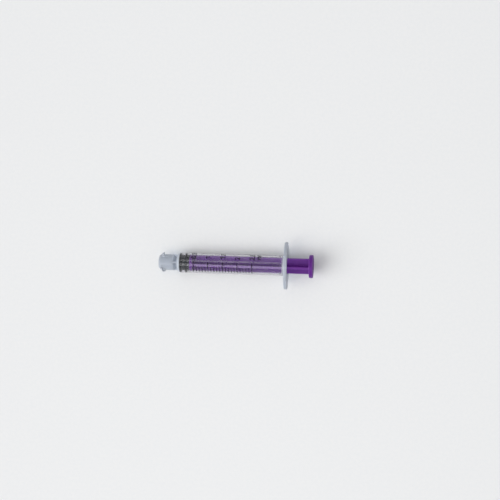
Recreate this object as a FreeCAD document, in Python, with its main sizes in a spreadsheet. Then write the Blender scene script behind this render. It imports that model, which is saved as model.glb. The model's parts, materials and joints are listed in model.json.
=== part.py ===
"""A 2.5 ml enteral syringe: a clear barrel with a wide lugged connector, a purple plunger rod
with four vanes, and the dark rubber stopper that is snapped onto the rod's head.

Every piece is drawn in the syringe's own frame: X runs along the axis from the connector's mouth
towards the thumb rest, and the flange is widest along Y. The pieces are then laid down together
as the syringe comes to rest on a table, on the flange's lower edge and the barrel's shoulder.
The plunger is pushed fully home. All sizes are in millimetres.
"""

import FreeCAD, Part

import math
import os
import re

import Sketcher

SIZES = [
    ("collar_diameter", 8.5, "outside of the connector's collar"),
    ("collar_length", 7.9, "mouth of the collar to its rear edge"),
    ("mouth_bevel", 0.8, "bevel round the mouth, which the lugs share"),
    ("socket_mouth_diameter", 6.0, "tapered socket, at the mouth"),
    ("socket_root_diameter", 5.7, "tapered socket, at its floor"),
    ("socket_depth", 6.9, "mouth to the socket's floor"),
    ("socket_lead_in", 0.25, "small bevel inside the mouth"),
    ("tip_diameter", 2.9, "low-dose tip inside the socket"),
    ("tip_setback", 0.4, "how far the tip's end lies inside the mouth"),
    ("tip_bevel", 0.3, "bevel round the tip's end"),
    ("tip_bore", 1.3, "fluid path through the tip"),
    ("lug_height", 1.0, "lugs above the collar"),
    ("lug_crest", 0.6, "width of a lug along the axis, at its crest"),
    ("lug_rear_slope", 0.5, "how far a lug's rear flank leans"),
    ("lug_lead", 5.0, "lead of the two-start thread that the lugs belong to"),
    ("lug_span", 100.0, "degrees that each lug goes round the collar"),
    ("lug_root", 0.3, "depth that a lug's profile reaches into the collar"),
    ("neck_diameter", 5.4, "neck between collar and barrel"),
    ("neck_length", 1.8, "collar's rear edge to the barrel's shoulder"),
    ("neck_taper", 1.3, "length of the cone behind the collar"),
    ("gusset_thickness", 0.8, "four webs round the neck"),
    ("gusset_root", 0.3, "depth that a web reaches into collar and shoulder"),
    ("bore_diameter", 9.0, "inside of the barrel: 0.5 ml is 7.86 mm of travel"),
    ("barrel_wall", 0.8, "wall of the barrel"),
    ("barrel_length", 59.55, "shoulder to the flange's rear face"),
    ("shoulder_radius", 2.0, "rounding of the barrel's front end"),
    ("end_wall", 0.9, "wall between neck and bore"),
    ("bore_cone", 0.5, "how far the bore's floor dishes towards the outlet"),
    ("bore_corner", 0.7, "bevel at the rim of the bore's floor"),
    ("mouth_lead_in", 0.4, "bevel where the stopper is put in"),
    ("bead_height", 0.2, "retaining bead inside the bore"),
    ("bead_width", 1.2, "retaining bead along the axis"),
    ("bead_setback", 4.1, "flange's rear face to the middle of the bead"),
    ("flange_length", 25.0, "finger flange, across its round ends"),
    ("flange_width", 14.3, "finger flange, across its long sides"),
    ("flange_flat", 4.0, "straight stretch in the middle of each long side"),
    ("flange_end_radius", 4.5, "rounding of the flange's two ends"),
    ("flange_thickness", 1.75, "finger flange along the axis"),
    ("flange_edge", 0.4, "bevel of the flange's rim"),
    ("flange_land", 0.65, "narrowest flat ring between the flange's root cone and its rim"),
    ("seal_gap", 0.03, "gap between a sealing rib and the bore"),
    ("seat_gap", 0.1, "gap between stopper and bore floor, plunger home"),
    ("stopper_length", 6.2, "rim of the stopper's face to its rear end"),
    ("rib_width", 1.1, "each of the two sealing ribs"),
    ("rib_ramp", 0.3, "slope at a rib's side"),
    ("rib_spacing", 3.0, "front edge of one rib to front edge of the next"),
    ("waist_depth", 0.4, "groove between the ribs"),
    ("tail_depth", 0.25, "step down behind the rear rib"),
    ("lip_thickness", 1.2, "rubber lip that grips the rod's neck"),
    ("snap_gap", 0.05, "running clearance between rubber and rod head"),
    ("head_length", 2.6, "rod head inside the stopper"),
    ("head_diameter", 5.5, "rod head, at the shoulder behind the lip"),
    ("head_front_diameter", 4.4, "rod head, at its front end"),
    ("rod_neck_diameter", 3.8, "rod neck through the stopper's lip"),
    ("disc_diameter", 8.7, "disc that pushes the stopper"),
    ("disc_thickness", 1.35, "disc that pushes the stopper"),
    ("vane_span", 8.3, "across two opposite vanes"),
    ("vane_thickness", 1.1, "each of the four vanes"),
    ("vane_fillet", 0.5, "rounding between neighbouring vanes"),
    ("vane_overlap", 0.3, "depth that the vanes run into disc and thumb rest"),
    ("vane_turn", 16.5, "degrees that the rod is turned in the barrel"),
    ("thumb_gap", 11.45, "flange to thumb rest, plunger home"),
    ("thumb_diameter", 12.2, "thumb rest"),
    ("thumb_thickness", 2.0, "thumb rest"),
    ("thumb_edge", 0.35, "bevel of the thumb rest's rims"),
    ("grip_pitch", 1.5, "from one groove in the thumb rest to the next"),
    ("grip_width", 0.9, "each groove in the thumb rest, at the surface"),
    ("grip_depth", 0.3, "each groove in the thumb rest"),
    ("overcut", 1.0, "how far a cut runs past the face that it opens"),
]

# Places along the axis and radii, as sums of the sizes above.
SHOULDER = "(collar_length + neck_length)"
BORE_FLOOR = f"({SHOULDER} + end_wall)"
BARREL_REAR = f"({SHOULDER} + barrel_length)"
FLANGE_FRONT = f"({BARREL_REAR} - flange_thickness)"
BEAD_MIDDLE = f"({BARREL_REAR} - bead_setback)"
STOPPER_FRONT = f"({BORE_FLOOR} + seat_gap)"
STOPPER_REAR = f"({STOPPER_FRONT} + stopper_length)"
LIP_FRONT = f"({STOPPER_REAR} - lip_thickness)"
HEAD_REAR = f"({LIP_FRONT} - snap_gap)"
HEAD_FRONT = f"({HEAD_REAR} - head_length)"
DISC_FRONT = f"({STOPPER_REAR} + snap_gap)"
DISC_REAR = f"({DISC_FRONT} + disc_thickness)"
THUMB_FRONT = f"({BARREL_REAR} + thumb_gap)"
THUMB_REAR = f"({THUMB_FRONT} + thumb_thickness)"
COLLAR_RADIUS = "(collar_diameter / 2)"
BORE_RADIUS = "(bore_diameter / 2)"
BARREL_RADIUS = f"({BORE_RADIUS} + barrel_wall)"
RIB_RADIUS = f"({BORE_RADIUS} - seal_gap)"
FLANGE_ROOT = f"(flange_width / 2 - flange_edge - flange_land - {BARREL_RADIUS})"
LUG_RADIUS = f"({COLLAR_RADIUS} + lug_height)"
# Each lug is centred on the wing side, with its front flank in line with the bevel at the mouth.
LUG_ADVANCE = "(lug_lead * lug_span / 360)"
LUG_CREST_FRONT = f"(mouth_bevel + lug_height - {LUG_ADVANCE} / 2)"
# The flange is an oval of arcs that run smoothly into each other: a flat, a wide arc, the end.
END_CENTRE = "(flange_length / 2 - flange_end_radius)"
END_SHIFT = f"({END_CENTRE} - flange_flat / 2)"
NARROWING = "(flange_width / 2 - flange_end_radius)"
SIDE_RADIUS = (
    f"(({END_SHIFT} ^ 2 + (flange_width / 2) ^ 2 - flange_end_radius ^ 2) / (2 * {NARROWING}))"
)
SIDE_PART = f"({SIDE_RADIUS} / ({SIDE_RADIUS} - flange_end_radius))"
END_START_Y = f"(flange_flat / 2 + {END_SHIFT} * {SIDE_PART})"
END_START_Z = f"((flange_width / 2 - {SIDE_RADIUS}) * (1 - {SIDE_PART}))"

doc = FreeCAD.newDocument("enteral_syringe")
sheet = doc.addObject("Spreadsheet::Sheet", "sizes")
for row, (alias, size, meaning) in enumerate(SIZES, start=1):
    sheet.set(f"A{row}", str(size))
    sheet.setAlias(f"A{row}", alias)
    sheet.set(f"B{row}", meaning)
doc.recompute()


def bound(text):
    """The expression that reads the named sizes in text from the sheet."""
    return re.sub(r"[a-z][a-z_]*", lambda word: "sizes." + word.group(), str(text))


def number(text):
    """What a sum of named sizes comes to, as a plain number."""
    return float(sheet.evalExpression(str(text)))


def new_body(name):
    body = doc.addObject("PartDesign::Body", name)
    body.Label = name
    return body


def origin_feature(body, role):
    """One of the planes or axes that belong to the body's own origin."""
    return next(f for f in body.Origin.OriginFeatures if f.Role == role)


def new_sketch(body, name, plane, offset=None, turn=None):
    """An empty sketch on one of the body's planes, moved along its normal and turned about it."""
    sketch = body.newObject("Sketcher::SketchObject", name)
    sketch.AttachmentSupport = [(origin_feature(body, plane), "")]
    sketch.MapMode = "FlatFace"
    if offset:
        sketch.setExpression("AttachmentOffset.Base.z", bound(offset))
    if turn:
        sketch.setExpression("AttachmentOffset.Rotation.Angle", bound(turn) + " * 1 deg")
    return sketch


def place_point(sketch, shape, end, x, y):
    """Holds one point of the sketch at a distance from the origin, along each of its axes."""
    for kind, place in (("DistanceX", x), ("DistanceY", y)):
        index = sketch.addConstraint(Sketcher.Constraint(kind, -1, 1, shape, end, number(place)))
        sketch.setExpression(f"Constraints[{index}]", bound(place))


def arc_between(start, end, radius, side):
    """The short arc of that radius between two points, drawn anticlockwise. Side 1 bulges to the
    left of the way from start to end, side -1 to the right of it."""
    chord = end - start
    across = FreeCAD.Vector(-chord.y, chord.x, 0).normalize()
    depth = math.sqrt(radius**2 - (chord.Length / 2) ** 2)
    centre = (start + end) / 2 - across * (side * depth)
    spokes = [end - centre, start - centre] if side > 0 else [start - centre, end - centre]
    angles = [math.atan2(spoke.y, spoke.x) for spoke in spokes]
    if angles[1] < angles[0]:
        angles[1] += 2 * math.pi
    circle = Part.Circle(centre, FreeCAD.Vector(0, 0, 1), radius)
    return Part.ArcOfCircle(circle, angles[0], angles[1])


def draw_outline(sketch, corners, arcs=()):
    """A closed outline through the corners. arcs gives the edges that are arcs, as the number
    of the corner that each starts from, its radius and the side that it bulges to."""
    arcs = {start: (radius, side) for start, radius, side in arcs}
    points = [FreeCAD.Vector(number(x), number(y), 0) for x, y in corners]
    count = len(points)
    first, last = [1] * count, [2] * count
    for i, point in enumerate(points):
        following = points[(i + 1) % count]
        if i in arcs:
            radius, side = arcs[i]
            sketch.addGeometry(arc_between(point, following, number(radius), side))
            if side > 0:
                first[i], last[i] = 2, 1
        else:
            sketch.addGeometry(Part.LineSegment(point, following))
    for i in range(count):
        after = (i + 1) % count
        sketch.addConstraint(Sketcher.Constraint("Coincident", i, last[i], after, first[after]))
    for i, (x, y) in enumerate(corners):
        place_point(sketch, i, first[i], x, y)
    for i, (radius, _) in arcs.items():
        index = sketch.addConstraint(Sketcher.Constraint("Radius", i, number(radius)))
        sketch.setExpression(f"Constraints[{index}]", bound(radius))


def turned(body, kind, name, corners, arcs=()):
    """A full turn of an outline about the syringe's axis: kind is Revolution or Groove."""
    sketch = new_sketch(body, name + "_outline", "XY_Plane")
    draw_outline(sketch, corners, arcs)
    feature = body.newObject("PartDesign::" + kind, name)
    feature.Profile = sketch
    feature.ReferenceAxis = (origin_feature(body, "X_Axis"), [""])
    feature.Angle = 360
    doc.recompute()
    return feature


def repeated(body, name, feature, count):
    """Copies of a feature, evenly spaced round the syringe's axis."""
    pattern = body.newObject("PartDesign::PolarPattern", name)
    pattern.Originals = [feature]
    pattern.Axis = (origin_feature(body, "X_Axis"), [""])
    pattern.Angle = 360
    pattern.Occurrences = count
    body.Tip = pattern
    doc.recompute()
    return pattern


def rounded(body, name, base, edges, radius):
    """A fillet on the named edges of the feature before it."""
    fillet = body.newObject("PartDesign::Fillet", name)
    fillet.Base = (base, edges)
    fillet.setExpression("Radius", bound(radius))
    doc.recompute()
    return fillet


def make_barrel():
    """One clear moulding: connector collar with its low-dose tip, neck, tube and finger flange."""
    body = new_body("barrel")
    turned(
        body,
        "Revolution",
        "collar_neck_and_tube",
        [
            ("0", "0"),
            ("0", COLLAR_RADIUS),
            ("collar_length", COLLAR_RADIUS),
            ("collar_length + neck_taper", "neck_diameter / 2"),
            (SHOULDER, "neck_diameter / 2"),
            (SHOULDER, f"{BARREL_RADIUS} - shoulder_radius"),
            (f"{SHOULDER} + shoulder_radius", BARREL_RADIUS),
            (f"{FLANGE_FRONT} - {FLANGE_ROOT}", BARREL_RADIUS),
            (FLANGE_FRONT, f"{BARREL_RADIUS} + {FLANGE_ROOT}"),
            (f"{FLANGE_FRONT} + flange_edge", f"{BARREL_RADIUS} + {FLANGE_ROOT}"),
            (f"{FLANGE_FRONT} + flange_edge", "0"),
        ],
        arcs=[(5, "shoulder_radius", 1)],
    )
    add_flange(body)
    cut_bore(body)
    add_gussets(body)
    add_lugs(body)
    cut_socket(body)
    return body


def add_flange(body):
    """The finger flange: an oval with a short flat on each long side, bevelled at its rim."""
    sketch = new_sketch(body, "flange_outline", "YZ_Plane", offset=FLANGE_FRONT)
    flat, side = "flange_flat / 2", "flange_width / 2"
    corners = [
        (f"-{flat}", side), (flat, side),
        (END_START_Y, END_START_Z), (END_START_Y, f"-{END_START_Z}"),
        (flat, f"-{side}"), (f"-{flat}", f"-{side}"),
        (f"-{END_START_Y}", f"-{END_START_Z}"), (f"-{END_START_Y}", END_START_Z),
    ]  # fmt: skip
    wide = [(i, SIDE_RADIUS, 1) for i in (1, 3, 5, 7)]
    ends = [(i, "flange_end_radius", 1) for i in (2, 6)]
    draw_outline(sketch, corners, wide + ends)
    flange = body.newObject("PartDesign::Pad", "flange")
    flange.Profile = sketch
    flange.setExpression("Length", bound("flange_thickness"))
    doc.recompute()
    bevel = body.newObject("PartDesign::Chamfer", "flange_rim")
    bevel.Base = (flange, rim_edges(flange, FLANGE_FRONT) + rim_edges(flange, BARREL_REAR))
    bevel.setExpression("Size", bound("flange_edge"))
    doc.recompute()


def rim_edges(feature, place):
    """Names of the edges that lie at that place along the axis and reach out past the barrel."""
    names = []
    for i, edge in enumerate(feature.Shape.Edges, start=1):
        box = edge.BoundBox
        across = max(abs(v) for v in (box.YMin, box.YMax, box.ZMin, box.ZMax))
        flat = box.XLength < 1e-4 and abs(box.XMin - number(place)) < 1e-4
        if flat and across > number(f"{BARREL_RADIUS} + {FLANGE_ROOT}") + 1e-3:
            names.append(f"Edge{i}")
    return names


def add_lugs(body):
    """Two thread lugs on opposite sides of the mouth, then the bevel that trims mouth and lugs."""
    sketch = new_sketch(body, "lug_section", "XY_Plane")
    about_axis = FreeCAD.Rotation(FreeCAD.Vector(1, 0, 0), -1)
    sketch.AttachmentOffset = FreeCAD.Placement(FreeCAD.Vector(0, 0, 0), about_axis)
    sketch.setExpression("AttachmentOffset.Rotation.Angle", bound("lug_span / 2") + " * 1 deg")
    sketch.setExpression("AttachmentOffset.Rotation.Axis.x", "-1")
    crest_rear = f"({LUG_CREST_FRONT} + lug_crest)"
    draw_outline(
        sketch,
        [
            (f"{LUG_CREST_FRONT} - lug_height - lug_root", f"{COLLAR_RADIUS} - lug_root"),
            (LUG_CREST_FRONT, LUG_RADIUS),
            (crest_rear, LUG_RADIUS),
            (f"{crest_rear} + lug_rear_slope", f"{COLLAR_RADIUS} - lug_root"),
        ],
    )
    lug = body.newObject("PartDesign::AdditiveHelix", "lug")
    lug.Profile = sketch
    lug.ReferenceAxis = (origin_feature(body, "X_Axis"), [""])
    lug.Mode = "pitch-turns-angle"
    lug.setExpression("Pitch", bound("lug_lead"))
    lug.setExpression("Turns", bound("lug_span / 360"))
    doc.recompute()
    repeated(body, "both_lugs", lug, 2)
    above = f"({LUG_RADIUS} + overcut)"
    turned(
        body,
        "Groove",
        "mouth_bevel",
        [
            ("-overcut", f"{COLLAR_RADIUS} - mouth_bevel - overcut"),
            ("mouth_bevel + lug_height + overcut", above),
            ("-overcut", above),
        ],
    )


def add_gussets(body):
    """Four webs that stiffen the neck, flush with the collar."""
    sketch = new_sketch(body, "gusset_outline", "XY_Plane")
    start, end = "collar_length - gusset_root", f"{SHOULDER} + gusset_root"
    inner = "neck_diameter / 2 - gusset_root"
    draw_outline(
        sketch,
        [(start, inner), (start, COLLAR_RADIUS), (end, COLLAR_RADIUS), (end, inner)],
    )
    gusset = body.newObject("PartDesign::Pad", "gusset")
    gusset.Profile = sketch
    gusset.SideType = "Symmetric"
    gusset.setExpression("Length", bound("gusset_thickness"))
    doc.recompute()
    repeated(body, "gussets", gusset, 4)


def cut_bore(body):
    """The bore, with its dished floor, the retaining bead and the lead-in at the flange."""
    turned(
        body,
        "Groove",
        "bore",
        [
            (f"{BORE_FLOOR} - bore_cone", "0"),
            (BORE_FLOOR, f"{BORE_RADIUS} - bore_corner"),
            (f"{BORE_FLOOR} + bore_corner", BORE_RADIUS),
            (f"{BEAD_MIDDLE} - bead_width / 2", BORE_RADIUS),
            (BEAD_MIDDLE, f"{BORE_RADIUS} - bead_height"),
            (f"{BEAD_MIDDLE} + bead_width / 2", BORE_RADIUS),
            (f"{BARREL_REAR} - mouth_lead_in", BORE_RADIUS),
            (f"{BARREL_REAR} + overcut", f"{BORE_RADIUS} + mouth_lead_in + overcut"),
            (f"{BARREL_REAR} + overcut", "0"),
        ],
    )


def cut_socket(body):
    """The tapered socket round the low-dose tip, and the fluid path through the tip."""
    turned(
        body,
        "Groove",
        "socket",
        [
            ("-overcut", "0"),
            ("-overcut", "socket_mouth_diameter / 2 + socket_lead_in"),
            ("0", "socket_mouth_diameter / 2 + socket_lead_in"),
            ("socket_lead_in", "socket_mouth_diameter / 2"),
            ("socket_depth", "socket_root_diameter / 2"),
            ("socket_depth", "tip_diameter / 2"),
            ("tip_setback + tip_bevel", "tip_diameter / 2"),
            ("tip_setback", "tip_diameter / 2 - tip_bevel"),
            ("tip_setback", "0"),
        ],
    )
    turned(
        body,
        "Groove",
        "fluid_path",
        [
            ("tip_setback - overcut", "0"),
            ("tip_setback - overcut", "tip_bore / 2"),
            (BORE_FLOOR, "tip_bore / 2"),
            (BORE_FLOOR, "0"),
        ],
    )


def make_stopper():
    """The rubber stopper: two sealing ribs outside, and inside the chamber that holds the head."""
    body = new_body("stopper")
    waist = f"({RIB_RADIUS} - waist_depth)"
    tail = f"({RIB_RADIUS} - tail_depth)"
    front_rib = f"({STOPPER_FRONT} + bore_corner)"
    rear_rib = f"({front_rib} + rib_spacing)"
    chamber_front = f"({HEAD_FRONT} - snap_gap)"
    turned(
        body,
        "Revolution",
        "moulding",
        [
            (f"{STOPPER_FRONT} - bore_cone", "0"),
            (STOPPER_FRONT, f"{RIB_RADIUS} - bore_corner"),
            (front_rib, RIB_RADIUS),
            (f"{front_rib} + rib_width", RIB_RADIUS),
            (f"{front_rib} + rib_width + rib_ramp", waist),
            (f"{rear_rib} - rib_ramp", waist),
            (rear_rib, RIB_RADIUS),
            (f"{rear_rib} + rib_width", RIB_RADIUS),
            (f"{rear_rib} + rib_width + rib_ramp", tail),
            (STOPPER_REAR, tail),
            (STOPPER_REAR, "rod_neck_diameter / 2 + snap_gap"),
            (LIP_FRONT, "rod_neck_diameter / 2 + snap_gap"),
            (LIP_FRONT, "head_diameter / 2 + snap_gap"),
            (chamber_front, "head_front_diameter / 2 + snap_gap"),
            (chamber_front, "0"),
        ],
    )
    return body


def make_plunger_rod():
    """The purple rod: snap-in head, disc behind the stopper, four vanes and the thumb rest."""
    body = new_body("plunger_rod")
    turned(
        body,
        "Revolution",
        "head_and_disc",
        [
            (HEAD_FRONT, "0"),
            (HEAD_FRONT, "head_front_diameter / 2"),
            (HEAD_REAR, "head_diameter / 2"),
            (HEAD_REAR, "rod_neck_diameter / 2"),
            (DISC_FRONT, "rod_neck_diameter / 2"),
            (DISC_FRONT, "disc_diameter / 2"),
            (DISC_REAR, "disc_diameter / 2"),
            (DISC_REAR, "0"),
        ],
    )
    add_vanes(body)
    turned(
        body,
        "Revolution",
        "thumb_rest",
        [
            (THUMB_FRONT, "0"),
            (THUMB_FRONT, "thumb_diameter / 2 - thumb_edge"),
            (f"{THUMB_FRONT} + thumb_edge", "thumb_diameter / 2"),
            (f"{THUMB_REAR} - thumb_edge", "thumb_diameter / 2"),
            (THUMB_REAR, "thumb_diameter / 2 - thumb_edge"),
            (THUMB_REAR, "0"),
        ],
    )
    cut_grip(body)
    return body


def add_vanes(body):
    """Four vanes in a cross, with rounded corners between them."""
    start = f"({DISC_REAR} - vane_overlap)"
    sketch = new_sketch(body, "cross", "YZ_Plane", offset=start, turn="vane_turn")
    reach, half = "vane_span / 2", "vane_thickness / 2"
    corners = [
        (reach, half), (half, half), (half, reach),
        (f"-{half}", reach), (f"-{half}", half), (f"-{reach}", half),
        (f"-{reach}", f"-{half}"), (f"-{half}", f"-{half}"), (f"-{half}", f"-{reach}"),
        (half, f"-{reach}"), (half, f"-{half}"), (reach, f"-{half}"),
    ]  # fmt: skip
    draw_outline(sketch, corners)
    vanes = body.newObject("PartDesign::Pad", "vanes")
    vanes.Profile = sketch
    vanes.setExpression("Length", bound(f"{THUMB_FRONT} + vane_overlap - {start}"))
    doc.recompute()
    inner_corner = number(half) * math.sqrt(2)
    long_edges = [
        f"Edge{i}"
        for i, edge in enumerate(vanes.Shape.Edges, start=1)
        if edge.BoundBox.XLength > number("thumb_gap")
        and abs(math.hypot(edge.CenterOfMass.y, edge.CenterOfMass.z) - inner_corner) < 1e-3
    ]
    rounded(body, "vane_corners", vanes, long_edges, "vane_fillet")


def cut_grip(body):
    """Grooves in the thumb rest's rear face, which leave raised rings for the thumb."""
    flat_radius = number("thumb_diameter / 2 - thumb_edge")
    rings = int((flat_radius - number("grip_width")) / number("grip_pitch"))
    for ring in range(1, rings + 1):
        middle = f"grip_pitch * {ring}"
        turned(
            body,
            "Groove",
            f"grip_groove_{ring}",
            [
                (f"{THUMB_REAR} - grip_depth", middle),
                (f"{THUMB_REAR} + grip_depth", f"{middle} + grip_width"),
                (f"{THUMB_REAR} + grip_depth", f"{middle} - grip_width"),
            ],
        )


def resting_place():
    """Where the syringe lies: nose down, on the flange's rim and the shoulder, with the middle
    of its footprint at the origin and the table at height 0."""
    flange_drop = number("flange_width / 2")
    flange_at = number(f"{FLANGE_FRONT} + flange_edge")
    shoulder_drop = number(f"{BARREL_RADIUS} - shoulder_radius")
    shoulder_at = number(f"{SHOULDER} + shoulder_radius")
    drop = flange_drop - shoulder_drop
    apart = flange_at - shoulder_at
    tilt = math.atan2(drop, apart) - math.asin(number("shoulder_radius") / math.hypot(drop, apart))
    height = flange_drop * math.cos(tilt) - flange_at * math.sin(tilt)
    left = -number(f"{COLLAR_RADIUS} - mouth_bevel") * math.sin(tilt)
    right = number(THUMB_REAR) * math.cos(tilt)
    right += number("thumb_diameter / 2 - thumb_edge") * math.sin(tilt)
    return FreeCAD.Placement(
        FreeCAD.Vector(-(left + right) / 2, 0, height),
        FreeCAD.Rotation(FreeCAD.Vector(0, -1, 0), math.degrees(tilt)),
    )


def main():
    pieces = [make_barrel(), make_stopper(), make_plunger_rod()]
    place = resting_place()
    for piece in pieces:
        piece.Placement = place
    doc.recompute()
    for thing in doc.Objects:
        if "Invalid" in thing.State or "Error" in thing.State:
            raise RuntimeError(f"{thing.Name} did not compute: {thing.State}")
    for piece in pieces:
        if piece.Shape.isNull() or not piece.Shape.isValid():
            raise RuntimeError(f"{piece.Label} has no valid shape")
    os.makedirs("parts", exist_ok=True)
    for piece in pieces:
        piece.Shape.exportStep(f"parts/{piece.Label}.step")
        print(piece.Label, len(piece.Shape.Solids), "solid,", round(piece.Shape.Volume, 1), "mm3")


main()
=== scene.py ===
import json
import math

import bmesh
import bpy
from mathutils import Matrix, Vector


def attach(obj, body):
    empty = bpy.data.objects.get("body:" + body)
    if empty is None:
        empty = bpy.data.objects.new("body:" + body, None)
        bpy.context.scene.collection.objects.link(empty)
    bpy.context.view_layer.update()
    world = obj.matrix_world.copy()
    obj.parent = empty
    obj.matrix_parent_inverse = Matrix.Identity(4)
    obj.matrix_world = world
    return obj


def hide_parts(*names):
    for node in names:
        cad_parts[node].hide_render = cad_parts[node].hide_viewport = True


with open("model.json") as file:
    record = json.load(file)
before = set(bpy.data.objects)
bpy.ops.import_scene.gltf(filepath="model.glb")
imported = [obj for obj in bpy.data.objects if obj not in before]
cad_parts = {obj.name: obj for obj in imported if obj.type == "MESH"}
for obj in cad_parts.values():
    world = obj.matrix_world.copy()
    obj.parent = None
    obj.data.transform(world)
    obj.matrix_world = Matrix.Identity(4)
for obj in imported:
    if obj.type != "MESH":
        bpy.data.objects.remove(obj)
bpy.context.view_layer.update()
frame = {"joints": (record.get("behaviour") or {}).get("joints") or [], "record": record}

# The syringe's own frame: x along its axis from the connector's mouth, y across, z up.
# Sizes are in millimetres there, and meshes are written in metres.
MM = 0.001
MOUNTS = {mount["name"]: mount for mount in frame["record"]["mounts"]}
AXIS = Vector(next(j["axis"] for j in frame["joints"] if j["name"] == "plunger_slide"))
ACROSS = Vector((0, 1, 0))
UP = AXIS.cross(ACROSS)
PLACE = Matrix((AXIS, ACROSS, UP)).transposed().to_4x4()
PLACE.translation = Vector(MOUNTS["enteral_connector"]["pos_m"])

# Connector
COLLAR_RADIUS = 4.25
COLLAR_END = 7.9
MOUTH_BEVEL = 0.8
SOCKET_MOUTH_RADIUS = 3.0
SOCKET_FLOOR_RADIUS = 2.85
SOCKET_DEPTH = 6.9
SOCKET_LEAD_IN = 0.25
TIP_RADIUS = MOUNTS["dosing_tip"]["dims"]["r_mm"]
TIP_END = 0.4
TIP_BEVEL = 0.3
FLUID_RADIUS = 0.65
LUG_HEIGHT = 1.0
LUG_CREST = 0.6
LUG_REAR_SLOPE = 0.38
LUG_LEAD = 5.0
LUG_HALF_SPAN = math.radians(50)
LUG_END = math.radians(5)
LUG_MARGIN = 0.03
MOUTH_LAND = 0.1
SMALLEST_CREST = 0.08
NECK_RADIUS = 2.7
NECK_START = 9.2
GUSSET_HALF = 0.4

# Columns of the barrel's mesh, in degrees, with closer ones counted from a web's or lug's middle
COLUMN_STEP = 3.0
WEB_COLUMNS = (4.6, 5.4, 6.1, 7, 8, 8.7)
LUG_COLUMNS = (44, 45, 46.5, 48.5, 50)

# Barrel
SHOULDER = 9.7
SHOULDER_ROUND = 2.0
SHOULDER_STEPS = 12
BARREL_RADIUS = MOUNTS["barrel_body"]["dims"]["r_mm"]
BORE_RADIUS = 4.5
BORE_FLOOR = 10.6
BORE_DISH = 0.5
BORE_CORNER = 0.7
BEAD_MIDDLE = 65.15
BEAD_HEIGHT = 0.2
BEAD_HALF_WIDTH = 0.6
FLANGE_FRONT = 67.5
FLANGE_REAR = 69.25
FLANGE_ROOT = 0.9
FLANGE_EDGE = 0.45
FLANGE_HALF_LENGTH = 12.5
FLANGE_HALF_WIDTH = 7.15
FLANGE_HALF_FLAT = 2.0
FLANGE_END_RADIUS = 4.5
MOUTH_LEAD_IN = 0.4
TUBE_RINGS = 12
LAST_TUBE_RING = 63.5

# Stopper
SEAT_GAP = 0.1
RIB_RADIUS = 4.51
WAIST_RADIUS = 4.07
TAIL_RADIUS = 4.22
RIB_FRONTS = (11.4, 14.4)
RIB_WIDTH = 1.1
RIB_RAMP = 0.3
STOPPER_REAR = 16.9
CHAMBER_FRONT = 13.0
CHAMBER_REAR = 15.7
CHAMBER_FRONT_RADIUS = 2.25
CHAMBER_REAR_RADIUS = 2.8
CHAMBER_MOUTH_RADIUS = 1.95

# Plunger rod
HEAD_GAP = 0.05
DISC_FRONT = 16.95
DISC_REAR = 18.3
DISC_RADIUS = 4.35
VANE_REACH = 4.15
VANE_HALF = 0.55
VANE_TURN = math.radians(16.5)
VANE_SUNK = 0.2
FLARE = 0.45
FLARE_STEPS = 6
THUMB_FRONT = 80.7
THUMB_REAR = 82.7
THUMB_RADIUS = 6.1
GRIP_PITCH = 1.5
GRIP_GROOVES = 3
GRIP_HALF_WIDTH = 0.45
GRIP_DEPTH = 0.3

# Printed scale
SCALE_ZERO = 11.4
MM_PER_ML = 15.72
FIRST_TENTH = 5
LAST_TENTH = 25
INK_THICKNESS = 0.02
LINE_WIDTH = 0.38
LONG_LINE = (math.radians(82), math.radians(152))
SHORT_LINE = (math.radians(113), math.radians(148))
BEND = math.radians(3)
NUMBER_HEIGHT = 2.7
NUMBER_WEIGHT = 0.07
NUMBER_START = math.radians(64)
CAPITAL_PART = 0.7
STRIP = 0.3
UNIT_START = math.radians(59)
UNIT_GAP = 3.35
LABELS = {0.5: "0.5", 1.0: "1", 1.5: "1.5", 2.0: "2", 2.5: "2.5"}

# The stroke at the top of a 1, which the font leaves out
ONE_CELL = 1.6
ONE_SHIFT = 0.35
FLAG_REACH = 0.75
FLAG_DROP = 0.55
FLAG_WEIGHT = 0.56

# Plastic: how thin an edge must be to get a painted highlight, and how clear the barrel is at places
# along it
EDGE_HIGHLIGHT_DEPTH = 0.6
MILKY = 0.45
END_WALL_CLEAR = 0.2
GLASSY = 0.963
FLANGE_CLEAR = 0.35
CLOUDS = 0.05
CLEARNESS = (
    (0.0, MILKY),
    (SHOULDER + 0.3, MILKY),
    (SHOULDER + 0.7, END_WALL_CLEAR),
    (BORE_FLOOR + 0.4, END_WALL_CLEAR),
    (BORE_FLOOR + 0.9, GLASSY),
    (FLANGE_FRONT - 1.5, GLASSY),
    (FLANGE_FRONT + 0.1, FLANGE_CLEAR),
)

# Meshes: points closer than WELD are one, and edges sharper than SHARP_EDGE stay sharp
WELD = 0.0001
SHARP_EDGE = math.radians(35)
TURNED_STEPS = 144


def to_world(x, y, z):
    """A place in the syringe's own frame, in millimetres, as a place in the row's frame."""
    return PLACE @ (Vector((x, y, z)) * MM)


def round_about(x, radius, angle):
    """A place by its distance from the axis and its angle from y, where up is 90 degrees."""
    return to_world(x, radius * math.cos(angle), radius * math.sin(angle))


def soften(corners, steps=5, closed=False):
    """Points along an outline whose corners are rounded. Each corner gives its place and how far
    before and after it the rounding starts; 0 leaves it sharp."""
    points = []
    last = len(corners) - 1
    for i, (x, y, setback) in enumerate(corners):
        corner = Vector((x, y))
        if setback == 0 or (not closed and i in (0, last)):
            points.append(corner)
            continue
        before = Vector(corners[i - 1][:2])
        after = Vector(corners[(i + 1) % len(corners)][:2])
        start = corner + (before - corner).normalized() * setback
        end = corner + (after - corner).normalized() * setback
        for step in range(steps + 1):
            t = step / steps
            points.append(start * (1 - t) ** 2 + corner * (2 * t * (1 - t)) + end * t**2)
    return points


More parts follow.
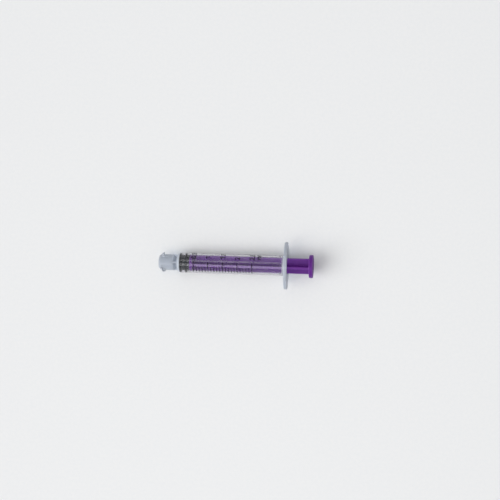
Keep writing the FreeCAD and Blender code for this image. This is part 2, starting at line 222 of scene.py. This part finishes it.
def add_object(name, mesh, body, material):
    """A finished piece that rides on a body. Its faces shade smooth up to its sharp edges."""
    mesh.shade_smooth()
    mesh.set_sharp_from_angle(angle=SHARP_EDGE)
    piece = bpy.data.objects.new(name, mesh)
    bpy.context.scene.collection.objects.link(piece)
    mesh.materials.append(material)
    even = piece.modifiers.new("flat_faces_shade_flat", "WEIGHTED_NORMAL")
    even.keep_sharp = True
    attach(piece, body)
    return piece


def finish_mesh(bm, name):
    """A mesh with points that fall together joined, and its faces turned outwards."""
    bmesh.ops.remove_doubles(bm, verts=bm.verts, dist=WELD * MM)
    bmesh.ops.recalc_face_normals(bm, faces=bm.faces)
    mesh = bpy.data.meshes.new(name)
    bm.to_mesh(mesh)
    bm.free()
    return mesh


def bridge(bm, one, other):
    """Faces between two closed rows of vertices of the same length."""
    for i in range(len(one)):
        j = (i + 1) % len(one)
        bm.faces.new((one[i], one[j], other[j], other[i]))


def lathe(bm, outline):
    """A closed solid of revolution; the outline starts and ends on the axis."""
    angles = [2 * math.pi * i / TURNED_STEPS for i in range(TURNED_STEPS)]
    front = bm.verts.new(to_world(outline[0].x, 0, 0))
    rear = bm.verts.new(to_world(outline[-1].x, 0, 0))
    rings = [
        [bm.verts.new(round_about(point.x, point.y, angle)) for angle in angles]
        for point in outline[1:-1]
    ]
    for i in range(TURNED_STEPS):
        j = (i + 1) % TURNED_STEPS
        bm.faces.new((front, rings[0][i], rings[0][j]))
        bm.faces.new((rear, rings[-1][j], rings[-1][i]))
    for one, other in zip(rings, rings[1:]):
        bridge(bm, one, other)


def lug_part(angle):
    """How far along its lug an angle lies, from 0 to 1, and the lug's height there."""
    turned = (angle + math.pi / 2) % math.pi - math.pi / 2
    part = (turned + LUG_HALF_SPAN) / (2 * LUG_HALF_SPAN)
    inside = LUG_HALF_SPAN - abs(turned)
    height = LUG_HEIGHT * max(0.0, min(1.0, inside / LUG_END))
    return max(0.0, min(1.0, part)), height


def gusset_radius(angle):
    """The neck's outside at an angle: the four webs stand out to the collar's radius."""
    off = abs((angle + math.pi / 4) % (math.pi / 2) - math.pi / 4)
    if off * COLLAR_RADIUS <= GUSSET_HALF:
        return COLLAR_RADIUS
    return max(NECK_RADIUS, min(COLLAR_RADIUS, GUSSET_HALF / math.sin(off)))


def flange_radius(angle):
    """The flange's rim at an angle: a short flat, a wide arc and the end's arc, each tangent."""
    end_centre = FLANGE_HALF_LENGTH - FLANGE_END_RADIUS
    shift = end_centre - FLANGE_HALF_FLAT
    narrowing = FLANGE_HALF_WIDTH - FLANGE_END_RADIUS
    wide = (shift**2 + FLANGE_HALF_WIDTH**2 - FLANGE_END_RADIUS**2) / (2 * narrowing)
    end_start = math.atan2(wide - FLANGE_HALF_WIDTH, shift)
    towards = Vector((abs(math.cos(angle)), abs(math.sin(angle))))
    if towards.y * FLANGE_HALF_FLAT > towards.x * FLANGE_HALF_WIDTH:
        return FLANGE_HALF_WIDTH / towards.y
    joint_direction = Vector((math.cos(end_start), math.sin(end_start)))
    joint = Vector((end_centre, 0)) + FLANGE_END_RADIUS * joint_direction
    if towards.y * joint.x > towards.x * joint.y:
        centre, radius = Vector((FLANGE_HALF_FLAT, FLANGE_HALF_WIDTH - wide)), wide
    else:
        centre, radius = Vector((end_centre, 0)), FLANGE_END_RADIUS
    near = towards.dot(centre)
    return near + math.sqrt(near**2 - centre.length_squared + radius**2)


def connector_corners(angle):
    """The outside of mouth, lug, collar and neck at an angle."""
    part, height = lug_part(angle)
    advance = LUG_LEAD * LUG_HALF_SPAN / math.pi
    crest = MOUTH_BEVEL + LUG_HEIGHT - advance / 2 + advance * part
    crest_rear = crest + LUG_CREST
    bevel_meets = (crest_rear - MOUTH_BEVEL + LUG_REAR_SLOPE * LUG_HEIGHT) / (1 + LUG_REAR_SLOPE)
    height = min(height, bevel_meets - LUG_MARGIN)
    front = max(crest - LUG_HEIGHT, MOUTH_BEVEL + MOUTH_LAND)
    crest_front = max(crest - (LUG_HEIGHT - height), MOUTH_BEVEL + MOUTH_LAND + height)
    rear_lean = LUG_REAR_SLOPE * (LUG_HEIGHT - height)
    crest_back = max(crest_rear + rear_lean, crest_front + SMALLEST_CREST)
    foot = crest_rear + LUG_REAR_SLOPE * LUG_HEIGHT
    top = COLLAR_RADIUS + height
    neck = gusset_radius(angle)
    return [
        (0, COLLAR_RADIUS - MOUTH_BEVEL, 0.06),
        (MOUTH_BEVEL, COLLAR_RADIUS, 0.04),
        (front, COLLAR_RADIUS, 0.05),
        (crest_front, top, 0.03),
        (crest_back, top, 0.03),
        (foot, COLLAR_RADIUS, 0.12),
        (COLLAR_END, COLLAR_RADIUS, 0.12),
        (NECK_START, neck, 0.15),
        (SHOULDER, neck, 0.15),
    ]


def barrel_profile(angle):
    """The barrel's section at an angle, once round the wall: outside to the rear, inside back."""
    flat_radius = BARREL_RADIUS - SHOULDER_ROUND
    beyond_neck = (SHOULDER, flat_radius + 0.2, 0.0)
    outside = soften(connector_corners(angle) + [beyond_neck])[:-1]
    start = math.asin(max(0.0, gusset_radius(angle) - flat_radius) / SHOULDER_ROUND)
    for step in range(SHOULDER_STEPS + 1):
        lean = start + (math.pi / 2 - start) * step / SHOULDER_STEPS
        x = SHOULDER + SHOULDER_ROUND * (1 - math.cos(lean))
        outside.append(Vector((x, flat_radius + SHOULDER_ROUND * math.sin(lean))))
    rim = flange_radius(angle)
    flange_and_bead = [
        (FLANGE_FRONT, BARREL_RADIUS, FLANGE_ROOT),
        (FLANGE_FRONT, rim, FLANGE_EDGE),
        (FLANGE_REAR, rim, FLANGE_EDGE),
        (FLANGE_REAR, BORE_RADIUS + MOUTH_LEAD_IN, 0.12),
        (FLANGE_REAR - MOUTH_LEAD_IN, BORE_RADIUS, 0.12),
        (BEAD_MIDDLE + BEAD_HALF_WIDTH, BORE_RADIUS, 0.15),
        (BEAD_MIDDLE, BORE_RADIUS - BEAD_HEIGHT, 0.3),
        (BEAD_MIDDLE - BEAD_HALF_WIDTH, BORE_RADIUS, 0.15),
    ]
    floor_and_socket = [
        (BORE_FLOOR + BORE_CORNER, BORE_RADIUS, 0.25),
        (BORE_FLOOR, BORE_RADIUS - BORE_CORNER, 0.25),
        (BORE_FLOOR - BORE_DISH, FLUID_RADIUS, 0.1),
        (TIP_END, FLUID_RADIUS, 0.08),
        (TIP_END, TIP_RADIUS - TIP_BEVEL, 0.08),
        (TIP_END + TIP_BEVEL, TIP_RADIUS, 0.1),
        (SOCKET_DEPTH, TIP_RADIUS, 0.3),
        (SOCKET_DEPTH, SOCKET_FLOOR_RADIUS, 0.3),
        (SOCKET_LEAD_IN, SOCKET_MOUTH_RADIUS, 0.06),
        (0, SOCKET_MOUTH_RADIUS + SOCKET_LEAD_IN, 0.04),
    ]
    tube = [(x, BARREL_RADIUS, 0.0) for x in tube_places()]
    bore = [(x, BORE_RADIUS, 0.0) for x in reversed(tube_places()[1:])]
    mouth = (0, COLLAR_RADIUS - MOUTH_BEVEL, 0.0)
    back = soften(tube + flange_and_bead + bore + floor_and_socket + [mouth])
    return outside + back[1:-1]


def tube_places():
    """Places along the straight tube where its surface gets a ring of its own."""
    start, end = SHOULDER + SHOULDER_ROUND, LAST_TUBE_RING
    return [start + (end - start) * i / TUBE_RINGS for i in range(TUBE_RINGS + 1)]


def barrel_angles():
    """Angles round the barrel: evenly spread, and closer together at the webs and lug ends."""
    degrees = {i * COLUMN_STEP for i in range(int(360 / COLUMN_STEP))}
    for side in (-1, 1):
        degrees |= {web * 90 + side * off for web in range(4) for off in WEB_COLUMNS}
        degrees |= {lug * 180 + side * off for lug in range(2) for off in LUG_COLUMNS}
    return [math.radians(angle) for angle in sorted({round(a % 360, 3) for a in degrees})]


def make_barrel(material):
    """The clear barrel: the wall's section swept once round the axis, as one closed surface."""
    bm = bmesh.new()
    columns = [
        [bm.verts.new(round_about(p.x, p.y, angle)) for p in barrel_profile(angle)]
        for angle in barrel_angles()
    ]
    for one, other in zip(columns, columns[1:] + columns[:1]):
        bridge(bm, one, other)
    piece = add_object("barrel_clear", finish_mesh(bm, "barrel_clear"), "barrel", material)
    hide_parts("barrel")
    return piece


def make_stopper(material):
    """The rubber stopper, with softly rounded sealing ribs."""
    front_rib, rear_rib = RIB_FRONTS
    seat = BORE_FLOOR + SEAT_GAP
    corners = [
        (seat - BORE_DISH, 0, 0),
        (seat, RIB_RADIUS - BORE_CORNER, 0.25),
        (front_rib, RIB_RADIUS, 0.25),
        (front_rib + RIB_WIDTH, RIB_RADIUS, 0.15),
        (front_rib + RIB_WIDTH + RIB_RAMP, WAIST_RADIUS, 0.2),
        (rear_rib - RIB_RAMP, WAIST_RADIUS, 0.2),
        (rear_rib, RIB_RADIUS, 0.15),
        (rear_rib + RIB_WIDTH, RIB_RADIUS, 0.15),
        (rear_rib + RIB_WIDTH + RIB_RAMP, TAIL_RADIUS, 0.12),
        (STOPPER_REAR, TAIL_RADIUS, 0.15),
        (STOPPER_REAR, CHAMBER_MOUTH_RADIUS, 0.1),
        (CHAMBER_REAR, CHAMBER_MOUTH_RADIUS, 0.1),
        (CHAMBER_REAR, CHAMBER_REAR_RADIUS, 0.1),
        (CHAMBER_FRONT, CHAMBER_FRONT_RADIUS, 0.1),
        (CHAMBER_FRONT, 0, 0),
    ]
    bm = bmesh.new()
    lathe(bm, soften(corners))
    piece = add_object("stopper_rubber", finish_mesh(bm, "stopper_rubber"), "stopper", material)
    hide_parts("stopper")
    return piece


def cross_outline(half, reach):
    """The cross of four vanes, rounded at their edges and in the corners between them."""
    corners = []
    for quarter in range(4):
        turn = Matrix.Rotation(VANE_TURN + quarter * math.pi / 2, 2)
        for y, z, setback in ((reach, -half, 0.2), (reach, half, 0.2), (half, half, 0.5)):
            place = turn @ Vector((y, z))
            corners.append((place.x, place.y, setback))
    return soften(corners, closed=True)


def add_vanes(bm):
    """The cross along the rod. It thickens a little where it runs into disc and thumb rest."""
    stations = []
    for step in range(FLARE_STEPS + 1):
        t = step / FLARE_STEPS
        stations.append((DISC_REAR - VANE_SUNK * (1 - t) + FLARE * t, FLARE * (1 - t) ** 2))
    mirrored = [(DISC_REAR + THUMB_FRONT - x, extra) for x, extra in reversed(stations)]
    rows = []
    for x, extra in stations + mirrored:
        outline = cross_outline(VANE_HALF + extra, VANE_REACH)
        rows.append([bm.verts.new(to_world(x, p.x, p.y)) for p in outline])
    for one, other in zip(rows, rows[1:]):
        bridge(bm, one, other)
    bm.faces.new(rows[0][::-1])
    bm.faces.new(rows[-1])


def thumb_outline():
    """The thumb rest's section, with shallow grooves between the raised rings."""
    corners = [
        (THUMB_FRONT, 0, 0),
        (THUMB_FRONT, THUMB_RADIUS, 0.35),
        (THUMB_REAR, THUMB_RADIUS, 0.35),
    ]
    for ring in range(GRIP_GROOVES, 0, -1):
        middle = ring * GRIP_PITCH
        corners += [
            (THUMB_REAR, middle + GRIP_HALF_WIDTH, 0.12),
            (THUMB_REAR - GRIP_DEPTH, middle, 0.25),
            (THUMB_REAR, middle - GRIP_HALF_WIDTH, 0.12),
        ]
    return soften(corners + [(THUMB_REAR, 0, 0)], steps=6)


def make_rod(material):
    """The purple rod: snap-in head, disc, four vanes and thumb rest."""
    head_front, head_rear = CHAMBER_FRONT + HEAD_GAP, CHAMBER_REAR - HEAD_GAP
    neck = CHAMBER_MOUTH_RADIUS - HEAD_GAP
    bm = bmesh.new()
    head = [
        (head_front, 0, 0),
        (head_front, CHAMBER_FRONT_RADIUS - HEAD_GAP, 0.2),
        (head_rear, CHAMBER_REAR_RADIUS - HEAD_GAP, 0.15),
        (head_rear, neck, 0.1),
        (DISC_FRONT, neck, 0.1),
        (DISC_FRONT, DISC_RADIUS, 0.15),
        (DISC_REAR, DISC_RADIUS, 0.15),
        (DISC_REAR, 0, 0),
    ]
    lathe(bm, soften(head))
    add_vanes(bm)
    lathe(bm, thumb_outline())
    piece = add_object("rod_purple", finish_mesh(bm, "rod_purple"), "plunger", material)
    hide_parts("plunger_rod")
    return piece


def wrapped_box(bm, x0, x1, low, high):
    """A thin patch of ink on the barrel between two places along it and two angles."""
    steps = int((high - low) / BEND)
    top = BARREL_RADIUS + INK_THICKNESS
    rows = []
    for step in range(steps + 1):
        angle = low + (high - low) * step / steps
        corners = [(x0, BARREL_RADIUS), (x1, BARREL_RADIUS), (x1, top), (x0, top)]
        rows.append([bm.verts.new(round_about(x, r, angle)) for x, r in corners])
    for one, other in zip(rows, rows[1:]):
        bridge(bm, one, other)
    bm.faces.new(rows[0][::-1])
    bm.faces.new(rows[-1])


def add_flag(flat):
    """The font's 1 is a bare bar: this moves it to the right and adds the stroke at its top."""
    bar = [v for v in flat.verts if v.co.x < ONE_CELL]
    for v in bar:
        v.co.x += ONE_SHIFT
    left = min(v.co.x for v in bar)
    top = max(v.co.y for v in bar)
    half = max(v.co.z for v in bar)
    root = left + FLAG_WEIGHT / 4
    tip = left - FLAG_REACH
    low = top - FLAG_DROP
    stroke = [(root, top), (root, top - FLAG_WEIGHT), (tip, low - FLAG_WEIGHT), (tip, low)]
    lower = [flat.verts.new((x, y, -half)) for x, y in stroke]
    upper = [flat.verts.new((x, y, half)) for x, y in stroke]
    bridge(flat, lower, upper)
    flat.faces.new(lower[::-1])
    flat.faces.new(upper)


def wrapped_text(bm, text, x, angle):
    """A number wrapped onto the barrel. Its lines run round the barrel, and its top faces the
    connector; x is its middle along the barrel and angle is where its first sign starts."""
    curve = bpy.data.curves.new("number", "FONT")
    curve.body = text
    curve.size = NUMBER_HEIGHT / CAPITAL_PART
    curve.extrude = INK_THICKNESS / 2
    curve.offset = NUMBER_WEIGHT
    curve.resolution_u = 4
    curve.space_character = 1.05
    holder = bpy.data.objects.new("number", curve)
    mesh = bpy.data.meshes.new_from_object(holder)
    flat = bmesh.new()
    flat.from_mesh(mesh)
    if text.startswith("1"):
        add_flag(flat)
    width = max(v.co.x for v in flat.verts)
    for i in range(1, int(width / STRIP) + 1):
        geometry = list(flat.verts) + list(flat.edges) + list(flat.faces)
        bmesh.ops.bisect_plane(flat, geom=geometry, plane_co=(i * STRIP, 0, 0), plane_no=(1, 0, 0))
    middle = NUMBER_HEIGHT / 2
    made = {}
    for v in flat.verts:
        radius = BARREL_RADIUS + INK_THICKNESS / 2 + v.co.z
        place = round_about(x + middle - v.co.y, radius, angle - v.co.x / BARREL_RADIUS)
        made[v] = bm.verts.new(place)
    for face in flat.faces:
        bm.faces.new([made[v] for v in face.verts])
    flat.free()
    bpy.data.objects.remove(holder)
    bpy.data.curves.remove(curve)
    bpy.data.meshes.remove(mesh)


def make_scale(material):
    """The printed scale from 0.5 ml up: a long line every 0.5 ml, a short one every 0.1 ml, and
    the numbers with their unit."""
    bm = bmesh.new()
    for tenth in range(FIRST_TENTH, LAST_TENTH + 1):
        x = SCALE_ZERO + tenth * MM_PER_ML / 10
        low, high = LONG_LINE if tenth % 5 == 0 else SHORT_LINE
        wrapped_box(bm, x - LINE_WIDTH / 2, x + LINE_WIDTH / 2, low, high)
    for volume, text in LABELS.items():
        wrapped_text(bm, text, SCALE_ZERO + volume * MM_PER_ML, NUMBER_START)
    wrapped_text(bm, "ml", SCALE_ZERO + max(LABELS) * MM_PER_ML + UNIT_GAP, UNIT_START)
    mesh = finish_mesh(bm, "printed_scale")
    return add_object("printed_scale", mesh, "barrel", material)


def new_material(name):
    """A new material, with its nodes, its links and its shader."""
    material = bpy.data.materials.new(name)
    material.use_nodes = True
    nodes = material.node_tree.nodes
    return material, nodes, material.node_tree.links, nodes["Principled BSDF"]


def noise(nodes, links, scale, detail=4.0):
    """A noise texture that is laid out in the object's own metres."""
    places = nodes.new("ShaderNodeTexCoord")
    texture = nodes.new("ShaderNodeTexNoise")
    texture.inputs["Scale"].default_value = scale
    texture.inputs["Detail"].default_value = detail
    links.new(places.outputs["Object"], texture.inputs["Vector"])
    return texture.outputs["Fac"]


def ramp(nodes, links, source, stops):
    """A colour ramp; stops are pairs of place and colour."""
    node = nodes.new("ShaderNodeValToRGB")
    elements = node.color_ramp.elements
    while len(elements) < len(stops):
        elements.new(0.5)
    for element, (place, colour) in zip(elements, stops):
        element.position = place
        element.color = (*colour, 1.0)
    links.new(source, node.inputs["Fac"])
    return node.outputs["Color"]


def spread(nodes, links, source, low, high):
    """Maps a value from 0..1 to low..high."""
    node = nodes.new("ShaderNodeMapRange")
    node.inputs["To Min"].default_value = low
    node.inputs["To Max"].default_value = high
    links.new(source, node.inputs["Value"])
    return node.outputs["Result"]


def painted_edge_highlight(nodes, links, colour, highlight_colour):
    """The colour, turning to a lighter one where the moulding is thin, as it is along its edges: a
    painted highlight standing in for the light that edges catch.
    """
    thick = nodes.new("ShaderNodeAmbientOcclusion")
    thick.inside = True
    thick.only_local = True
    thick.samples = 8
    thick.inputs["Distance"].default_value = EDGE_HIGHLIGHT_DEPTH * MM
    mix = nodes.new("ShaderNodeMixRGB")
    links.new(thick.outputs["AO"], mix.inputs["Fac"])
    mix.inputs["Color1"].default_value = (*highlight_colour, 1.0)
    links.new(colour, mix.inputs["Color2"])
    return mix.outputs["Color"]


def bump(nodes, links, source, shader, distance, strength):
    """A relief in the surface that follows a pattern, as high as the distance in metres."""
    node = nodes.new("ShaderNodeBump")
    node.inputs["Strength"].default_value = strength
    node.inputs["Distance"].default_value = distance
    links.new(source, node.inputs["Height"])
    links.new(node.outputs["Normal"], shader.inputs["Normal"])


def clear_plastic():
    """Clear polypropylene: glassy along the tube, milky and duller where the moulding is thick, with
    painted highlights along its thin edges.
    """
    material, nodes, links, shader = new_material("clear_polypropylene")
    clear = along_the_barrel(nodes, links)
    clouds = noise(nodes, links, 300.0)
    level = nodes.new("ShaderNodeMath")
    level.operation = "MULTIPLY_ADD"
    links.new(clouds, level.inputs[0])
    level.inputs[1].default_value = CLOUDS
    links.new(clear, level.inputs[2])
    links.new(level.outputs["Value"], shader.inputs["Transmission Weight"])
    milky, glassy = (0.50, 0.535, 0.595), (0.73, 0.72, 0.765)
    colour = ramp(nodes, links, level.outputs["Value"], [(0.5, milky), (0.95, glassy)])
    # Painted highlight: thin edges of the moulding turn a pale blue-white in the colour
    colour = painted_edge_highlight(nodes, links, colour, (0.78, 0.80, 0.84))
    links.new(colour, shader.inputs["Base Color"])
    links.new(spread(nodes, links, clear, 0.42, 0.1), shader.inputs["Roughness"])
    shader.inputs["IOR"].default_value = 1.49
    shader.inputs["Specular IOR Level"].default_value = 0.35
    bump(nodes, links, noise(nodes, links, 250.0, 2.0), shader, 0.000003, 0.1)
    shade = ramp(nodes, links, clear, [(0.45, (0.78, 0.80, 0.83)), (0.95, (0.95, 0.95, 0.98))])
    let_lamps_through(material, nodes, links, shader, shade)
    return material


def along_the_barrel(nodes, links):
    """How clear the plastic is, from the connector's mouth to the flange's rear."""
    places = nodes.new("ShaderNodeTexCoord")
    split = nodes.new("ShaderNodeSeparateXYZ")
    links.new(places.outputs["Object"], split.inputs["Vector"])
    part = nodes.new("ShaderNodeMapRange")
    part.inputs["From Min"].default_value = to_world(0, 0, 0).x
    part.inputs["From Max"].default_value = to_world(FLANGE_REAR, 0, 0).x
    links.new(split.outputs["X"], part.inputs["Value"])
    stops = [(x / FLANGE_REAR, (level, level, level)) for x, level in CLEARNESS]
    return ramp(nodes, links, part.outputs["Result"], stops)


def let_lamps_through(material, nodes, links, shader, shade):
    """Lamps light what is inside the clear wall, and less of their light passes a milky one."""
    path = nodes.new("ShaderNodeLightPath")
    open_wall = nodes.new("ShaderNodeBsdfTransparent")
    links.new(shade, open_wall.inputs["Color"])
    mix = nodes.new("ShaderNodeMixShader")
    links.new(path.outputs["Is Shadow Ray"], mix.inputs["Fac"])
    links.new(shader.outputs["BSDF"], mix.inputs[1])
    links.new(open_wall.outputs["BSDF"], mix.inputs[2])
    links.new(mix.outputs["Shader"], nodes["Material Output"].inputs["Surface"])


def purple_plastic():
    """Purple moulded plastic with a faint swirl in its colour, painted highlights along its edges and
    a fine satin grain.
    """
    material, nodes, links, shader = new_material("purple_plastic")
    swirl = noise(nodes, links, 220.0, 3.0)
    colour = ramp(nodes, links, swirl, [(0.3, (0.092, 0.011, 0.188)), (0.7, (0.113, 0.018, 0.220))])
    # Painted highlight: thin edges of the rod turn a lighter purple in the colour
    colour = painted_edge_highlight(nodes, links, colour, (0.30, 0.10, 0.46))
    links.new(colour, shader.inputs["Base Color"])
    grain = noise(nodes, links, 4000.0, 2.0)
    links.new(spread(nodes, links, grain, 0.38, 0.46), shader.inputs["Roughness"])
    shader.inputs["IOR"].default_value = 1.49
    shader.inputs["Specular IOR Level"].default_value = 0.2
    shader.inputs["Subsurface Weight"].default_value = 0.25
    shader.inputs["Subsurface Radius"].default_value = (0.6, 0.25, 0.9)
    shader.inputs["Subsurface Scale"].default_value = 0.001
    bump(nodes, links, grain, shader, 0.000004, 0.3)
    return material


def black_rubber():
    """Dark rubber with a dusty, slightly uneven surface."""
    material, nodes, links, shader = new_material("black_rubber")
    dust = noise(nodes, links, 1500.0, 6.0)
    colour = ramp(nodes, links, dust, [(0.35, (0.010, 0.013, 0.014)), (0.75, (0.022, 0.026, 0.028))])
    links.new(colour, shader.inputs["Base Color"])
    links.new(spread(nodes, links, dust, 0.42, 0.62), shader.inputs["Roughness"])
    shader.inputs["Specular IOR Level"].default_value = 0.2
    bump(nodes, links, dust, shader, 0.00003, 0.4)
    return material


def printed_ink():
    """Near-black screen ink, a little uneven in its cover."""
    material, nodes, links, shader = new_material("scale_ink")
    cover = noise(nodes, links, 2500.0, 5.0)
    colour = ramp(nodes, links, cover, [(0.3, (0.008, 0.006, 0.012)), (0.8, (0.024, 0.019, 0.033))])
    links.new(colour, shader.inputs["Base Color"])
    links.new(spread(nodes, links, cover, 0.5, 0.65), shader.inputs["Roughness"])
    shader.inputs["Specular IOR Level"].default_value = 0.2
    return material


def make_floor():
    """A plain pale table top, with a grain too fine to show from a step away."""
    bm = bmesh.new()
    half = 3.0
    corners = [bm.verts.new((x * half, y * half, 0)) for x, y in ((-1, -1), (1, -1), (1, 1), (-1, 1))]
    bm.faces.new(corners)
    mesh = bpy.data.meshes.new("floor")
    bm.to_mesh(mesh)
    bm.free()
    material, nodes, links, shader = new_material("pale_floor")
    grain = noise(nodes, links, 600.0, 3.0)
    colour = ramp(nodes, links, grain, [(0.3, (0.78, 0.785, 0.79)), (0.7, (0.80, 0.80, 0.80))])
    links.new(colour, shader.inputs["Base Color"])
    shader.inputs["Roughness"].default_value = 0.9
    shader.inputs["Specular IOR Level"].default_value = 0.1
    mesh.materials.append(material)
    floor = bpy.data.objects.new("floor", mesh)
    bpy.context.scene.collection.objects.link(floor)


def soft_lamp(name, place, size, power):
    """A long soft lamp that points at the middle of the object."""
    data = bpy.data.lights.new(name, "AREA")
    data.shape = "RECTANGLE"
    data.size, data.size_y = size
    data.energy = power
    lamp = bpy.data.objects.new(name, data)
    lamp.location = place
    lamp.rotation_mode = "QUATERNION"
    lamp.rotation_quaternion = (-Vector(place)).to_track_quat("-Z", "Y")
    bpy.context.scene.collection.objects.link(lamp)


def make_lights():
    """Two long lamps, one on each side of the axis, and a wide soft light from the connector's end."""
    distance, length, towards_mouth = 0.7, 0.45, -0.05
    lamps = (
        ("lamp_far", 28, 0.26, 0.5),
        ("lamp_near", -28, 0.34, 0.9),
    )
    for name, lean, width, power in lamps:
        angle = math.radians(lean)
        place = (towards_mouth, distance * math.sin(angle), distance * math.cos(angle))
        soft_lamp(name, place, (length, width), power)
    data = bpy.data.lights.new("window", "SUN")
    data.energy = 1.9
    data.angle = math.radians(50)
    window = bpy.data.objects.new("window", data)
    window.rotation_mode = "QUATERNION"
    window.rotation_quaternion = Vector((0.85, 0.35, -0.8)).to_track_quat("-Z", "Y")
    bpy.context.scene.collection.objects.link(window)


def make_surroundings():
    """A plain room: pale walls all round, up to a dimmer ceiling."""
    world = bpy.data.worlds.new("plain_room")
    world.use_nodes = True
    nodes, links = world.node_tree.nodes, world.node_tree.links
    places = nodes.new("ShaderNodeTexCoord")
    split = nodes.new("ShaderNodeSeparateXYZ")
    links.new(places.outputs["Generated"], split.inputs["Vector"])
    walls, ceiling = (0.78, 0.79, 0.80), (0.32, 0.325, 0.33)
    colour = ramp(nodes, links, split.outputs["Z"], [(0.25, walls), (0.75, ceiling)])
    links.new(colour, nodes["Background"].inputs["Color"])
    bpy.context.scene.world = world


def make_camera():
    """The photograph's view: from above, leaning a little towards the thumb rest, with the
    syringe turned slightly clockwise. The lengths are pixels of the photograph."""
    picture = 500
    pixel = 0.532 * MM
    turned = math.radians(1.66)
    mouth_left, mouth_below = 92.2, 11.95
    camera_right, camera_high = 130.0, 890.0
    right = AXIS * math.cos(turned) + ACROSS * math.sin(turned)
    above = ACROSS * math.cos(turned) - AXIS * math.sin(turned)
    aim = to_world(0, 0, 0) + (right * mouth_left + above * mouth_below) * pixel
    place = aim + (right * camera_right + UP * camera_high) * pixel
    backwards = (place - aim).normalized()
    sideways = above.cross(backwards).normalized()
    data = bpy.data.cameras.new("camera")
    data.sensor_width = 36.0
    data.lens = data.sensor_width * math.hypot(camera_right, camera_high) / picture
    data.clip_start, data.clip_end = 0.01, 20.0
    camera = bpy.data.objects.new("camera", data)
    turn = Matrix((sideways, backwards.cross(sideways), backwards)).transposed()
    camera.matrix_world = Matrix.Translation(place) @ turn.to_4x4()
    bpy.context.scene.collection.objects.link(camera)
    bpy.context.scene.camera = camera


make_barrel(clear_plastic())
make_stopper(black_rubber())
make_rod(purple_plastic())
make_scale(printed_ink())
make_floor()
make_lights()
make_surroundings()
make_camera()
bpy.context.scene.view_settings.view_transform = "Standard"
